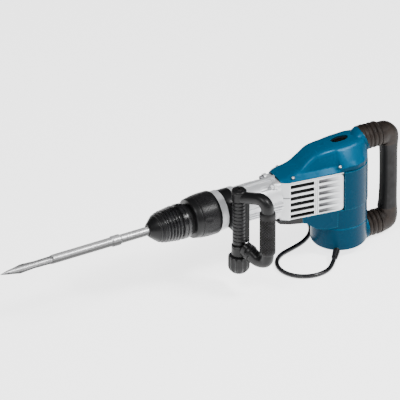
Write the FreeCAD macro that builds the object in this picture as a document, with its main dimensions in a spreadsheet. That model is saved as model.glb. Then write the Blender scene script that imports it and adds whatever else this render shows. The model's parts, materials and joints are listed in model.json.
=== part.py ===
"""Demolition hammer with a vertical motor, side handle, sprung rear handle and pointed chisel.

Row frame: origin at the centre of the flat motor base, +Z up the motor axis, +X towards the
rear handle. The chisel points along -X on the impact axis, and -Y is the side-handle side.
"""
import FreeCAD, Part
import Sketcher
import math
import os

Vector = FreeCAD.Vector
Rotation = FreeCAD.Rotation

SIZES = {
    "axis_height": 144, "motor_radius": 56, "motor_wall": 3.5, "cap_height": 50,
    "housing_top": 179, "side_half": 50.8, "case_floor": 94, "upper_radius": 57.3,
    "case_front": -147, "case_front_half": 24, "case_corner": -131, "case_corner_half": 33.5,
    "case_rear": -18, "grille_depth": 8, "slot_step": 13.4, "slot_height": 8.6,
    "neck_radius": 36, "collar_radius": 33, "bore_radius": 24.6, "ring_radius": 40.5,
    "ring_front": -287, "ring_rear": -273, "band_rear": -248, "band_radius": 39,
    "flange_screw_y": 20, "flange_screw_z": 30, "flange_thick": 9,
    "shaft_radius": 9.25, "shank_radius": 9, "chisel_tip": -765, "chisel_fin": -722,
    "chisel_waist": -690, "flute_end": -642, "chisel_collar": -518, "collar_end": -496,
    "shank_end": -346, "holder_radius": 16, "holder_flange": 30.5, "holder_rear": 24,
    "mouth": -437, "cone_end": -405, "sleeve_rear": -352, "sleeve_bore": 16.3,
    "adjust_front": -343, "adjust_rear": -287.5, "adjust_bore": 24.3,
    "column_x": -259, "column_y": -54, "column_radius": 11, "bolt_radius": 4,
    "hub_radius": 15, "hub_top": 206, "grip_reach": 69, "grip_radius": 16, "arm_radius": 11,
    "grip_low": 84, "nut_radius": 22.5, "nut_top": 66, "nut_bottom": 27,
    "handle_axis_top": 212, "handle_axis_low": 10, "bellows_radius": 26, "handle_front": 88,
    "handle_half": 16, "grip_rear": 130, "grip_front": 97, "window_low": 44, "window_top": 180,
    "rod_radius": 5, "shaft_low": 8, "core_radius": 27, "core_low": 40, "core_high": 86,
    "crank_offset": 41, "crank_throw": 12, "gear_low": 112, "gear_high": 123,
    "conrod_length": 85, "piston_radius": 20, "tube_front": -286, "tube_rear": -141,
    "cord_diameter": 9.4, "floor_level": -16,
}

doc = FreeCAD.newDocument("DemolitionHammer")
sheet = doc.addObject("Spreadsheet::Sheet", "Sizes")


class Size:
    """A length that carries its number and its formula over the sheet's cells."""

    def __init__(self, number, formula):
        self.number = float(number)
        self.formula = formula

    def join(self, other, sign, number):
        return Size(number, f"({self.formula} {sign} {as_size(other).formula})")

    def __add__(self, other):
        return self.join(other, "+", self.number + as_size(other).number)

    def __sub__(self, other):
        return self.join(other, "-", self.number - as_size(other).number)

    def __mul__(self, other):
        return self.join(other, "*", self.number * as_size(other).number)

    def __truediv__(self, other):
        return self.join(other, "/", self.number / as_size(other).number)

    def __radd__(self, other):
        return as_size(other) + self

    def __rsub__(self, other):
        return as_size(other) - self

    def __rmul__(self, other):
        return as_size(other) * self

    def __neg__(self):
        return as_size(0) - self

    def __float__(self):
        return self.number


def as_size(value):
    return value if isinstance(value, Size) else Size(value, repr(float(value)))


class Cells:
    """The sheet's cells by alias, such as cell.motor_radius."""


cell = Cells()


def fill_sheet():
    for row, (alias, number) in enumerate(SIZES.items(), start=1):
        sheet.set(f"A{row}", alias)
        sheet.set(f"B{row}", str(number))
        sheet.setAlias(f"B{row}", alias)
        setattr(cell, alias, Size(number, f"Sizes.{alias}"))
    doc.recompute()


def bind(thing, path, value):
    thing.setExpression(path, as_size(value).formula)


def place(thing, at, rotation=None):
    """Turns a thing and binds its position to the sheet."""
    thing.Placement = FreeCAD.Placement(Vector(*[float(v) for v in at]), rotation or Rotation())
    for letter, value in zip("xyz", at):
        bind(thing, f".Placement.Base.{letter}", value)
    return thing


ALONG = {"x": Rotation(Vector(0, 1, 0), 90), "y": Rotation(Vector(1, 0, 0), -90), "z": Rotation()}


def start_point(axis, start, at):
    points = {"x": (start, at[0], at[1]), "y": (at[0], start, at[1]), "z": (at[0], at[1], start)}
    return points[axis]


def rod(axis, start, end, radius, at=(0, 0)):
    """A cylinder along an axis between two stations."""
    thing = doc.addObject("Part::Cylinder", "Rod")
    bind(thing, "Radius", radius)
    bind(thing, "Height", as_size(end) - start)
    return place(thing, start_point(axis, start, at), ALONG[axis])


def cone(axis, start, end, radius_start, radius_end, at=(0, 0)):
    thing = doc.addObject("Part::Cone", "Taper")
    bind(thing, "Radius1", radius_start)
    bind(thing, "Radius2", radius_end)
    bind(thing, "Height", as_size(end) - start)
    return place(thing, start_point(axis, start, at), ALONG[axis])


def tube(axis, start, end, radius, bore, at=(0, 0)):
    return cut([rod(axis, start, end, radius, at)],
               [rod(axis, as_size(start) - 1, as_size(end) + 1, bore, at)])


def ball(at, radius):
    thing = doc.addObject("Part::Sphere", "Ball")
    bind(thing, "Radius", radius)
    return place(thing, at)


def hoop(axis, at, radius, section):
    thing = doc.addObject("Part::Torus", "Hoop")
    bind(thing, "Radius1", radius)
    bind(thing, "Radius2", section)
    return place(thing, at, ALONG[axis])


def block(x, y, z, rotation=None):
    """A box from three (low, high) pairs."""
    thing = doc.addObject("Part::Box", "Block")
    for name, (low, high) in zip(("Length", "Width", "Height"), (x, y, z)):
        bind(thing, name, as_size(high) - low)
    return place(thing, (x[0], y[0], z[0]), rotation)


def fuse(things, label=None):
    if len(things) > 1:
        joined = doc.addObject("Part::MultiFuse", "Joined")
        joined.Shapes = things
    else:
        joined = things[0]
    return named(joined, label)


def cut(things, tools, label=None):
    result = doc.addObject("Part::Cut", "Hollowed")
    result.Base = fuse(things)
    result.Tool = fuse(tools)
    return named(result, label)


def common(first, second, label=None):
    result = doc.addObject("Part::Common", "Shared")
    result.Base = first
    result.Tool = second
    return named(result, label)


def group(things, label):
    """Separate equal solids kept together as one sub-part."""
    result = doc.addObject("Part::Compound", "Group")
    result.Links = things
    return named(result, label)


nodes = []


def named(thing, label):
    if label:
        thing.Label = label
        nodes.append(thing)
    return thing


def shifted(thing, offset, rotation=None):
    """A moved copy of a thing that follows its shape."""
    holder = doc.addObject("Part::Compound", "Moved")
    holder.Links = [thing]
    return place(holder, offset, rotation)


def outline(body, role, points):
    """A closed sketch whose corners are bound to the sheet."""
    sketch = body.newObject("Sketcher::SketchObject", "Outline")
    plane = next(f for f in body.Origin.OriginFeatures if f.Role == role)
    sketch.AttachmentSupport = [(plane, "")]
    sketch.MapMode = "FlatFace"
    corners = [(as_size(a), as_size(b)) for a, b in points]
    places = [Vector(a.number, b.number, 0) for a, b in corners]
    count = len(corners)
    for i in range(count):
        sketch.addGeometry(Part.LineSegment(places[i], places[(i + 1) % count]), False)
    for i, (a, b) in enumerate(corners):
        sketch.addConstraint(Sketcher.Constraint("Coincident", i, 2, (i + 1) % count, 1))
        for kind, value, line in (("DistanceX", a, -2), ("DistanceY", b, -1)):
            if value.number == 0:
                sketch.addConstraint(Sketcher.Constraint("PointOnObject", i, 1, line))
                continue
            index = sketch.addConstraint(Sketcher.Constraint(kind, -1, 1, i, 1, value.number))
            if "Sizes." in value.formula:
                sketch.setExpression(f"Constraints[{index}]", value.formula)
    return sketch


def turned(points, at=(0, 0, 0), label=None, upright=False):
    """A body of revolution from (station, radius) points, about X, or about Z when upright."""
    body = doc.addObject("PartDesign::Body", "Turned")
    if upright:
        points = [(radius, station) for station, radius in points]
    sketch = outline(body, "XZ_Plane", points)
    turn = body.newObject("PartDesign::Revolution", "Turn")
    turn.Profile = sketch
    turn.ReferenceAxis = (sketch, ["V_Axis" if upright else "H_Axis"])
    turn.Angle = 360
    place(body, at)
    return named(body, label)


def prism(role, points, length, at=(0, 0, 0), label=None, symmetric=False):
    """A padded outline: XY_Plane pads up, XZ_Plane pads towards -Y, YZ_Plane towards +X."""
    body = doc.addObject("PartDesign::Body", "Padded")
    sketch = outline(body, role, points)
    pad = body.newObject("PartDesign::Pad", "Pad")
    pad.Profile = sketch
    bind(pad, "Length", length)
    if symmetric:
        pad.SideType = "Symmetric"
    place(body, at)
    return named(body, label)


def round_edges(body, radius, wanted):
    """Rounds the body's edges that the test picks."""
    doc.recompute()
    base = body.Tip
    picked = [f"Edge{i}" for i, edge in enumerate(base.Shape.Edges, start=1) if wanted(edge)]
    rounding = body.newObject("PartDesign::Fillet", "Rounding")
    rounding.Base = (base, picked)
    bind(rounding, "Radius", radius)
    return body


def along(letter):
    """A test for straight edges that run along one axis."""
    index = "xyz".index(letter)

    def test(edge):
        if len(edge.Vertexes) != 2:
            return False
        step = edge.Vertexes[1].Point - edge.Vertexes[0].Point
        return abs(abs(step[index]) - step.Length) < 1e-6 and abs(edge.Length - step.Length) < 1e-6
    return test


# ---------------------------------------------------------------- chisel and chuck

def sorted_pair(side, near, far):
    """A (low, high) pair on one side of zero."""
    return tuple(sorted((side * near, side * far)))


def make_chisel():
    c = cell
    profile = [(c.chisel_tip, 0), (c.chisel_tip, 0.8), (c.chisel_fin, 10), (c.chisel_fin + 4, 10),
               (c.chisel_waist, 8.2), (c.flute_end, c.shaft_radius),
               (c.chisel_collar, c.shaft_radius), (c.chisel_collar + 3, 11),
               (c.collar_end - 3, 11), (c.collar_end, c.shank_radius),
               (c.shank_end - 2, c.shank_radius), (c.shank_end, 7), (c.shank_end, 0)]
    body = turned(profile, (0, 0, c.axis_height))
    tools = []
    for turn in range(4):
        angle = math.radians(45 + 90 * turn)
        offset = (11.2 * math.cos(angle), c.axis_height + 11.2 * math.sin(angle))
        tools.append(rod("x", c.chisel_tip - 5, c.flute_end - 14, 7.2, offset))
        tools.append(ball((c.flute_end - 14, offset[0], offset[1]), 7.2))
    for side in (1, -1):
        height = c.axis_height + side * 9.7
        tools.append(rod("x", -385.3, -352.7, 3.3, (0, height)))
        tools.append(block((-425, c.shank_end + 1), sorted_pair(side, 6.6, 12),
                           (c.axis_height - 3, c.axis_height + 3)))
    cut([body], tools, "chisel")


def make_tool_holder():
    c = cell
    profile = [(-424, 9.1), (-424, c.holder_radius), (c.sleeve_rear, c.holder_radius),
               (c.sleeve_rear, c.holder_flange), (-339, c.holder_flange), (-339, c.holder_rear),
               (-290, c.holder_rear), (-290, 15.2), (c.shank_end + 1, 15.2), (c.shank_end + 1, 9.1)]
    body = turned(profile, (0, 0, c.axis_height))
    slots = [block((-385.2, -364.8), (-3.15, 3.15),
                   (c.axis_height + low, c.axis_height + low + 12)) for low in (6, -18)]
    cut([body], slots, "tool_holder")
    for label, side in (("roller_upper", 1), ("roller_lower", -1)):
        rod("x", -385, -365, 3, (0, c.axis_height + side * 9.7)).Label = label
        nodes.append(doc.Objects[-1])


def make_locking_sleeve():
    c = cell
    cone_profile = [(c.mouth, 9.6), (c.mouth, 18.4), (c.mouth + 3, 20.5), (-426, 26.4), (-417, 30.2),
                    (c.cone_end, 33.8), (c.cone_end, c.sleeve_bore), (-430, c.sleeve_bore), (-430, 9.6)]
    turned(cone_profile, (0, 0, c.axis_height), "dust_cap")
    rings = [(-405, 34.4), (-396, 35.5), (-394.6, 34.4), (-393.2, 35.7), (-385, 36.1), (-383.6, 35),
             (-382.2, 36.1), (-375, 36.1), (-373.5, 33.8), (-371, 33.8), (-369.5, 36.6), (-362, 36.6),
             (-360.6, 35.2), (-359.2, 36.5), (-353, 36.2), (c.sleeve_rear, 35.2)]
    inner = [(c.sleeve_rear, 31), (-361, 31), (-361, 24), (-390, 24), (-390, c.sleeve_bore),
             (c.cone_end, c.sleeve_bore)]
    turned(rings + inner, (0, 0, c.axis_height), "locking_sleeve")
    coils = [hoop("x", (-388 + 5.2 * i, 0, c.axis_height), 19.5, 1.4) for i in range(6)]
    group(coils, "lock_spring")


def make_adjusting_ring():
    c = cell
    profile = [(c.adjust_front, 31), (c.adjust_front, 34), (-342.5, 38.3), (-340, 39.6), (-338, 41.3),
               (-336.6, 40.2), (-335.2, 42.8), (-328, 43.8), (-326.5, 42.4), (-325, 44), (-319, 44),
               (-307, 43.2), (-295, 43.3), (-289, 43), (c.adjust_rear, 41), (c.adjust_rear, c.adjust_bore),
               (-334, c.adjust_bore), (-334, 31)]
    turned(profile, (0, 0, c.axis_height), "adjusting_ring")


# ---------------------------------------------------------------- side handle

def make_clamp():
    c = cell
    height = c.axis_height
    band = rod("x", c.ring_rear + 1, c.band_rear - 1.5, c.band_radius, (0, height))
    bore = rod("x", c.ring_rear - 5, c.band_rear + 5, c.collar_radius + 0.15, (0, height))
    bolt = (c.column_x, c.column_y)
    cut([band], [bore], "clamp_band")
    column = [rod("z", 90, 189.5, c.column_radius, bolt)]
    column += [rod("z", 94 + 8 * i, 98.5 + 8 * i, 13, bolt) for i in range(12)]
    column.append(block((c.column_x - 9, c.column_x + 9), (c.column_y, -20), (117, 171)))
    column.append(block((c.column_x + 9, c.column_x + 19), (c.column_y - 9, c.column_y + 3), (94, 186)))
    away = [rod("x", c.ring_rear - 20, c.band_rear + 20, c.band_radius, (0, height)),
            rod("z", 60, 200, c.bolt_radius + 0.1, bolt)]
    cut(column, away, "clamp_column")
    stem = rod("z", 58, c.hub_top, c.bolt_radius, bolt)
    named(stem, "clamp_bolt")


def bar(start, end, radius):
    """A round bar between two points of the grip's own XZ plane, with round ends."""
    thing = doc.addObject("Part::Cylinder", "Bar")
    step = Vector(float(end[0]) - float(start[0]), 0, float(end[1]) - float(start[1]))
    bind(thing, "Radius", radius)
    bind(thing, "Height", step.Length)
    place(thing, (start[0], 0, start[1]), Rotation(Vector(0, 0, 1), step))
    return [thing, ball((end[0], 0, end[1]), radius)]


def make_side_grip():
    c = cell
    reach = c.grip_reach
    arm = c.arm_radius
    pieces = [rod("z", 190, c.hub_top, c.hub_radius), rod("z", c.nut_top + 0.3, 89.5, c.hub_radius)]
    pieces += bar((0, 196), (reach - 16, 210.5), arm)
    pieces += bar((reach - 16, 210.5), (reach - 3, 203), arm + 1)
    pieces += bar((reach - 3, 203), (reach, 190), arm + 1.2)
    pieces += bar((reach, 190), (reach, 80), 12.2)
    pieces += bar((reach, 80), (reach - 8, 70), arm + 1)
    pieces += bar((reach - 8, 70), (reach - 26, 66.5), arm)
    pieces += bar((reach - 26, 66.5), (16, 76), arm)
    grip = cut(pieces, [rod("z", 60, 230, c.bolt_radius + 0.15),
                        rod("z", 89.5, 190, 19.5), rod("z", 40, c.nut_top + 0.3, 25),
                        rod("z", c.hub_top, 240, 15.8)])
    turn = Rotation(Vector(0, 0, 1), -65.8)
    sleeve = tube("z", c.grip_low + 8, 186, c.grip_radius, 12.3, (reach, 0))
    for thing, label in ((grip, "side_grip"), (sleeve, "side_grip_sleeve")):
        named(shifted(thing, (c.column_x, c.column_y, 0), turn), label)
    turned([(0, 0), (0, 15.5), (7, 15.5), (10, 12.5), (10, 0)],
           (c.column_x, c.column_y, c.hub_top), "side_grip_cap", True)


def make_clamp_nut():
    c = cell
    bottom = c.nut_bottom
    profile = [(bottom, 0), (bottom, 11), (bottom + 4, 18), (bottom + 10, c.nut_radius),
               (c.nut_top - 3, c.nut_radius), (c.nut_top, c.nut_radius - 3),
               (c.nut_top, c.bolt_radius + 0.15), (57, c.bolt_radius + 0.15), (57, 0)]
    knob = turned(profile, (c.column_x, c.column_y, 0), None, True)
    grooves = []
    lobes = 12
    for i in range(lobes):
        angle = 2 * math.pi * i / lobes
        at = (c.column_x + (c.nut_radius + 1.6) * math.cos(angle),
              c.column_y + (c.nut_radius + 1.6) * math.sin(angle))
        grooves.append(rod("z", bottom - 1, c.nut_top + 1, 3.4, at))
    cut([knob], grooves, "clamp_nut")


# ---------------------------------------------------------------- front and gear housing

def flange_holes(radius, start, end):
    c = cell
    return [rod("x", start, end, radius, (sy * c.flange_screw_y, c.axis_height + sz * c.flange_screw_z))
            for sy in (1, -1) for sz in (1, -1)]


def make_neck():
    c = cell
    height = c.axis_height
    tube("x", c.ring_front, c.ring_rear, c.ring_radius, c.bore_radius, (0, height))
    named(doc.Objects[-1], "front_ring")
    profile = [(c.ring_rear, c.bore_radius), (c.ring_rear, c.collar_radius), (c.band_rear, c.collar_radius),
               (c.band_rear, 38), (-244, 39), (-238, 39), (-235, c.neck_radius),
               (-180, c.neck_radius), (c.case_front, 33), (c.case_front, c.bore_radius)]
    pieces = [turned(profile, (0, 0, height))]
    half, low, top = c.case_front_half + 3, c.case_floor + 2, c.housing_top + 1
    plate = prism("YZ_Plane", [(-half, low), (half, low), (half, top), (-half, top)],
                  c.flange_thick, (c.case_front - c.flange_thick, 0, 0))
    pieces.append(round_edges(plate, 11, along("x")))
    for side in (1, -1):
        web = [(-238, height + side * 30), (-238, height + side * 39), (-190, height + side * 39),
               (c.case_front - 1, height + side * 41), (c.case_front - 1, height + side * 30)]
        pieces.append(prism("XZ_Plane", web, 6, (0, 0, 0), None, True))
        wing = [(-238, side * 29), (-238, side * 38.5), (-190, side * 38),
                (c.case_front - 1, side * 30), (c.case_front - 1, side * 26)]
        pieces.append(prism("XY_Plane", wing, 6, (0, 0, height), None, True))
    pieces += flange_holes(7.5, -162, c.case_front - c.flange_thick + 1)
    bore = rod("x", c.ring_rear - 2, c.case_front + 2, c.bore_radius, (0, height))
    cut(pieces, [bore] + flange_holes(3.1, -180, -137) + flange_holes(5.6, -190, -162), "neck_housing")
    heads = []
    for side_y in (1, -1):
        for side_z in (1, -1):
            at = (side_y * c.flange_screw_y, height + side_z * c.flange_screw_z)
            screw = cut([rod("x", -168, -162, 5, at), rod("x", -162, -140, 3, at)],
                        [rod("x", -169, -165, 2.6, at)])
            heads.append(screw)
    group(heads, "flange_screws")


def case_outline(inset, front, rear):
    """Plan of the gear case: a nose that widens towards the motor."""
    c = cell
    half, corner = c.case_front_half - inset, c.case_corner_half - inset
    wide = c.side_half - inset
    side = [(front, half), (c.case_corner + as_size(inset) * 0.4, corner), (rear, wide)]
    return side + [(x, -y) for x, y in reversed(side)]


def make_gear_housing():
    c = cell
    floor, top, rear = c.case_floor, c.housing_top - 0.5, c.case_rear
    high = top - floor
    slim_inset, room_inset = c.grille_depth + 1.5, c.grille_depth + 4.5
    nose = block((c.case_front, c.case_corner), (-60, 60), (floor, top))
    full = prism("XY_Plane", case_outline(0, c.case_front, rear), high, (0, 0, floor))
    slim = prism("XY_Plane", case_outline(slim_inset, c.case_front, rear), high, (0, 0, floor))
    body = [common(full, nose), slim, rod("z", floor, top, 42)]
    body.append(prism("XY_Plane", case_outline(0.6, c.case_front, rear), 1.5, (0, 0, top - 1.5)))
    room = prism("XY_Plane", case_outline(room_inset, c.case_front + 9, rear + 1), high - 12,
                 (0, 0, floor + 6))
    tools = [room, rod("z", floor + 6, top - 6, 38), rod("z", floor - 1, floor + 7, 13.1),
             rod("x", c.case_front - 1, c.case_front + 26, c.bore_radius, (0, c.axis_height))]
    cut(body, tools + flange_holes(3.1, -152, -139), "gear_housing")


def make_grille(side, label):
    """Slotted side panel, built flat in its own frame and turned to the case's flare."""
    c = cell
    run = 114
    low, high = c.case_floor, c.housing_top - 2.8
    depth = c.grille_depth
    panel = prism("XY_Plane", [(0, 0), (run, 0), (run, depth), (0, depth)], high - low, (0, 0, low))
    round_edges(panel, 8.5, lambda e: along("y")(e) and e.CenterOfMass.x > 60)
    round_edges(panel, 1.6, lambda e: abs(e.CenterOfMass.y) < 1e-3 and e.CenterOfMass.x > 1)
    columns = ((1.2, 51.5), (61, 109.5))
    tools = [block((1.2, 52.5), (2, depth + 1), (low + 2.4, high - 2.4))]
    starts = [low + 3.3 + c.slot_step * i for i in range(6)]
    heights = [(start, start + c.slot_height) for start in starts]
    for base, top in heights:
        start, end = columns[0]
        tools.append(block((start, end), (-1, depth), (base, top)))
        start, end = columns[1]
        ramp = [(start, -1), (end + 1, -1), (end + 1, 0), (start, 4.6)]
        tools.append(prism("XY_Plane", ramp, top - base, (0, 0, base)))
    for first in (53.8, 57.6):
        tools.append(block((first, first + 1.2), (-1, 1.6), (low + 2, high - 2)))
    flat = cut([panel], tools)
    liner = block((1.8, 52), (depth - 0.9, depth), (low + 2.8, high - 2.8))
    tilt = math.degrees(math.atan2(float(c.side_half - c.case_corner_half),
                                   float(c.case_rear - c.case_corner)))
    turn = Rotation(Vector(0, 0, 1), side * tilt)
    placed = []
    for thing in (flat, liner):
        if side > 0:
            mirrored = doc.addObject("Part::Mirroring", "Opposite")
            mirrored.Source = thing
            mirrored.Normal = Vector(0, 1, 0)
            thing = mirrored
        placed.append(shifted(thing, (c.case_corner, side * c.case_corner_half, 0), turn))
    named(placed[0], label)
    return placed[1]


def make_lower_guard():
    """Black skid under the case's nose, and the blue fairing from there to the motor."""
    c = cell
    top = c.case_floor - 0.2
    split = -104
    nose = c.case_front - 7
    skid = [(nose, top), (nose, 90.5), (nose + 5, 86.4), (split, 81), (split, top)]
    fairing = [(split + 0.2, top), (split + 0.2, 81), (-96, 78.5), (-88, 72), (-76, 62),
               (-50, 56), (-30, 56), (-30, top)]
    for side, label in ((skid, "lower_guard"), (fairing, "motor_fairing")):
        profile = prism("XZ_Plane", side, 130, (0, 0, 0), None, True)
        plan = prism("XY_Plane", case_outline(0.3, nose, c.case_rear), 70, (0, 0, 45))
        cut([common(profile, plan)], [rod("z", 40, 110, c.motor_radius + 0.1),
                                      block((-130, -60), (-22, 22), (87.5, 91))], label)


# ---------------------------------------------------------------- motor housing and cover

def make_motor_housing():
    c = cell
    r = c.motor_radius
    low, top = c.cap_height, c.housing_top
    outer = [rod("z", low + 0.2, top, r)]
    outer.append(rod("z", c.case_floor, top, c.upper_radius))
    inner = [rod("z", low - 1, top + 1, r - c.motor_wall),
             block((c.case_rear - 60, c.case_rear + 0.4), (-70, 70), (c.case_floor - 1, top + 1)),
             block((-9, 9), (45, 60), (146.8, 153.2))]
    cut(outer, inner, "motor_housing")


def make_end_cap():
    c = cell
    r, top = c.motor_radius, c.cap_height
    wall = c.motor_wall
    profile = [(0, 0), (0, r - 4), (0.4, r - 2.4), (1.4, r - 1.1), (2.6, r - 0.3), (4, r), (top - 2, r),
               (top, r - 1.2), (top, r - wall), (13, r - wall), (4, r - 13), (4, 0)]
    body = turned(profile, (0, 0, 0), None, True)
    boss = rod("x", 24, 56.2, c.bellows_radius + 1, (0, c.handle_axis_low))
    hollow = rod("z", 4, top + 1, r - wall - 1)
    under = block((20, 54), (-40, 40), (-30, 0))
    saved = cut([boss], [hollow, under])
    relief_hole = fuse(relief_pieces(0.1))
    cut([fuse([body, saved])], [rod("x", 36, 60, c.rod_radius + 0.2, (0, c.handle_axis_low)), relief_hole],
        "motor_end_cap")


# station x, half width at the lip, lip height, half width of the flat top, top height
COVER_STATIONS = [
    (-147, 24, 181.5, 17, 184.5), (-131, 33.3, 183, 20, 187.5), (-118, 35.4, 184, 21.5, 190),
    (-96, 39, 186, 22.5, 196), (-78, 42, 188, 23.5, 209), (-64, 44, 190, 25, 218),
    (-50, 46.2, 191, 25.5, 220), (-28, 49.4, 191, 25.5, 220.5), (-11, 53.5, 191, 25.5, 222),
    (10, 55, 191, 25.5, 224.5), (30, 48.5, 191, 25.5, 226), (45, 35.5, 191, 22, 226), (55, 18, 191, 14, 224),
]


def cover_section(station, inset):
    x, half, lip, flat, top = station
    base = float(cell.housing_top)
    corners = [(-half + inset, base), (-half + inset, lip - inset * 0.5), (-flat, top - inset),
               (flat, top - inset), (half - inset, lip - inset * 0.5), (half - inset, base)]
    return Part.makePolygon([Vector(x, y, z) for y, z in corners + corners[:1]])


def make_top_cover():
    c = cell
    shell = doc.addObject("Part::Feature", "CoverShell")
    shell.Shape = Part.makeLoft([cover_section(s, 0) for s in COVER_STATIONS], True, True)
    room = doc.addObject("Part::Feature", "CoverRoom")
    inner = [(x, h, l, f, t) for x, h, l, f, t in COVER_STATIONS if -119 < x < 31]
    room.Shape = Part.makeLoft([cover_section(s, 4.5) for s in inner], True, True)
    socket = rod("x", 30, 58, c.bellows_radius + 0.6, (0, c.handle_axis_top))
    keep = block((20, 62), (-40, 40), (c.housing_top + 4, 245))
    recess = fuse([rod("z", 214.5, 235, 8.6, (-9, 0)), rod("z", 214.5, 235, 8.6, (9, 0)),
                   block((-9, 9), (-8.6, 8.6), (214.5, 235))])
    hole = rod("x", 40, 70, c.rod_radius + 0.2, (0, c.handle_axis_top))
    cut([shell, common(socket, keep)], [room, recess, hole] + side_screws(3.5, 12), "top_cover")


def make_switch():
    rim = [rod("z", 214.8, 220.5, 8.4, (-9, 0)), rod("z", 214.8, 220.5, 8.4, (9, 0)),
           block((-9, 9), (-8.4, 8.4), (214.8, 220.5))]
    cut(rim, [block((-12, 12), (-5.6, 5.6), (216, 222))], "switch_bezel")
    rocker = prism("XZ_Plane", [(-11, 217.8), (11, 217.8), (11, 220.6), (0, 219.6), (-11, 223)],
                   10.6, (0, 0, 0), None, True)
    fuse([rocker, rod("y", -4, 4, 1.2, (0, 217.6))], "power_switch")


def side_screws(radius, length):
    """Rods across the cover's lip, for its screws or for their holes."""
    screws = []
    for x, half in ((-126, 34), (-30, 49)):
        for side in (1, -1):
            start, end = sorted_pair(side, half + 1.2 - length, half + 1.2)
            screws.append(rod("y", start, end, radius, (x, 186)))
    return screws


def make_speed_wheel():
    named(rod("z", 147.3, 152.7, 8, (0, 51.2)), "speed_wheel")


# ---------------------------------------------------------------- rear handle

def make_rear_handle():
    c = cell
    front, rear, half = c.handle_front, c.grip_rear, c.handle_half
    top, low = c.handle_axis_top + 26, c.handle_axis_low - 26
    profile = [(front, low), (front + 10, low + 1), (rear - 17, low + 12), (rear - 5, low + 30),
               (rear - 1, low + 80), (rear, c.axis_height), (rear - 1, c.axis_height + 45),
               (rear - 5, top - 16), (rear - 19, top - 5), (front, top), (front, c.window_top),
               (c.grip_front + 2, c.window_top - 5), (c.grip_front - 1, c.axis_height + 12),
               (c.grip_front, c.axis_height - 40), (c.grip_front - 1, c.window_low + 8),
               (front, c.window_low - 8)]
    body = prism("XZ_Plane", profile, half * 2, (0, 0, 0), None, True)
    clear_of_arms = float(front) + 0.5
    round_edges(body, 13, lambda e: along("y")(e) and e.CenterOfMass.x > clear_of_arms)
    round_edges(body, 9, lambda e: abs(abs(e.CenterOfMass.y) - float(half)) < 1e-3
                and e.CenterOfMass.x > clear_of_arms)
    hubs = [cone("x", front, front + 16, c.bellows_radius - 0.3, half - 3, (0, height))
            for height in (c.handle_axis_top, c.handle_axis_low)]
    rods_out = [rod("x", front - 1, front + 12, c.rod_radius, (0, height))
                for height in (c.handle_axis_top, c.handle_axis_low)]
    insert_span = (c.window_low + 16, c.window_top - 16)
    insert_room = block((c.grip_front - 5, c.grip_front + 3), (-9, 9), insert_span)
    cut([body] + hubs, rods_out + [insert_room], "rear_handle")
    named(block((c.grip_front - 0.8, c.grip_front + 3), (-9, 9), insert_span), "grip_insert")


def make_bellows():
    c = cell
    for label, height in (("bellows_upper", c.handle_axis_top), ("bellows_lower", c.handle_axis_low)):
        start = 58.3 if label == "bellows_upper" else 56.5
        pitch = (88 - start) / 3
        outer = []
        for i in range(3):
            base = start + pitch * i
            outer += [(base, 22.5), (base + pitch * 0.3, 25.6), (base + pitch * 0.75, 25.6)]
        outer.append((88, 22.5))
        turned(outer + [(88, 16), (start, 16)], (0, 0, height), label)
    rods, springs = [], []
    for height, start in ((c.handle_axis_top, 48), (c.handle_axis_low, 44)):
        rods.append(rod("x", start, c.handle_front + 12, c.rod_radius, (0, height)))
        springs += [hoop("x", (62 + 5.2 * i, 0, height), 9, 1.6) for i in range(5)]
    group(rods, "handle_rods")
    group(springs, "handle_springs")


# ---------------------------------------------------------------- motor and impact mechanism

def gear_disc(low, high, radius, teeth, depth, at):
    """A spur gear with straight-sided teeth."""
    step = 2 * math.pi / teeth
    points = []
    for i in range(teeth):
        for turn, reach in ((-0.27, radius - depth), (-0.16, radius), (0.16, radius),
                            (0.27, radius - depth)):
            angle = step * (i + turn)
            points.append(Vector(reach * math.cos(angle), reach * math.sin(angle), 0))
    wire = Part.makePolygon(points + points[:1])
    thing = doc.addObject("Part::Feature", "Gear")
    thing.Shape = Part.Face(wire).extrude(Vector(0, 0, high - low))
    return place(thing, (at[0], at[1], low))


def make_motor():
    c = cell
    low, high, core = c.core_low, c.core_high, c.core_radius
    named(tube("z", low - 2, high + 2, 50, core + 3), "stator")
    named(tube("z", low, high, core, 6), "armature_core")
    named(tube("z", 22, 36, 17, 6), "commutator")
    pinion = gear_disc(111, 124, 8.8, 9, 2.3, (0, 0))
    fuse([rod("z", c.shaft_low, 112, 6), pinion], "armature_shaft")
    blades = [tube("z", 88.5, 90, 46, 6)]
    for i in range(9):
        spin = Rotation(Vector(0, 0, 1), 40 * i)
        blades.append(block((0, 1.4), (12, 45), (89, 93), spin))
        blades[-1].Placement = FreeCAD.Placement(Vector(0, 0, 89), spin)
    cut(blades, [rod("z", 85, 101, 6)], "cooling_fan")
    group([tube("z", start, start + 6, 13, 6) for start in (9, c.case_floor.number)], "motor_bearings")
    cut([tube("z", 4, 18, 17, 13)], [block((-2, 2), (-20, 20), (12, 20))], "bearing_seat")
    brushes = [block((-4, 4), sorted_pair(side, 17.3, 34), (24, 33)) for side in (1, -1)]
    group(brushes, "carbon_brushes")
    holders = []
    for side in (1, -1):
        outer = block((-7, 7), sorted_pair(side, 22, 46), (21, 36))
        holders.append(cut([outer], [block((-4.2, 4.2), sorted_pair(side, 16, 38), (23.8, 33.2))]))
    group(holders, "brush_holders")


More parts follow.
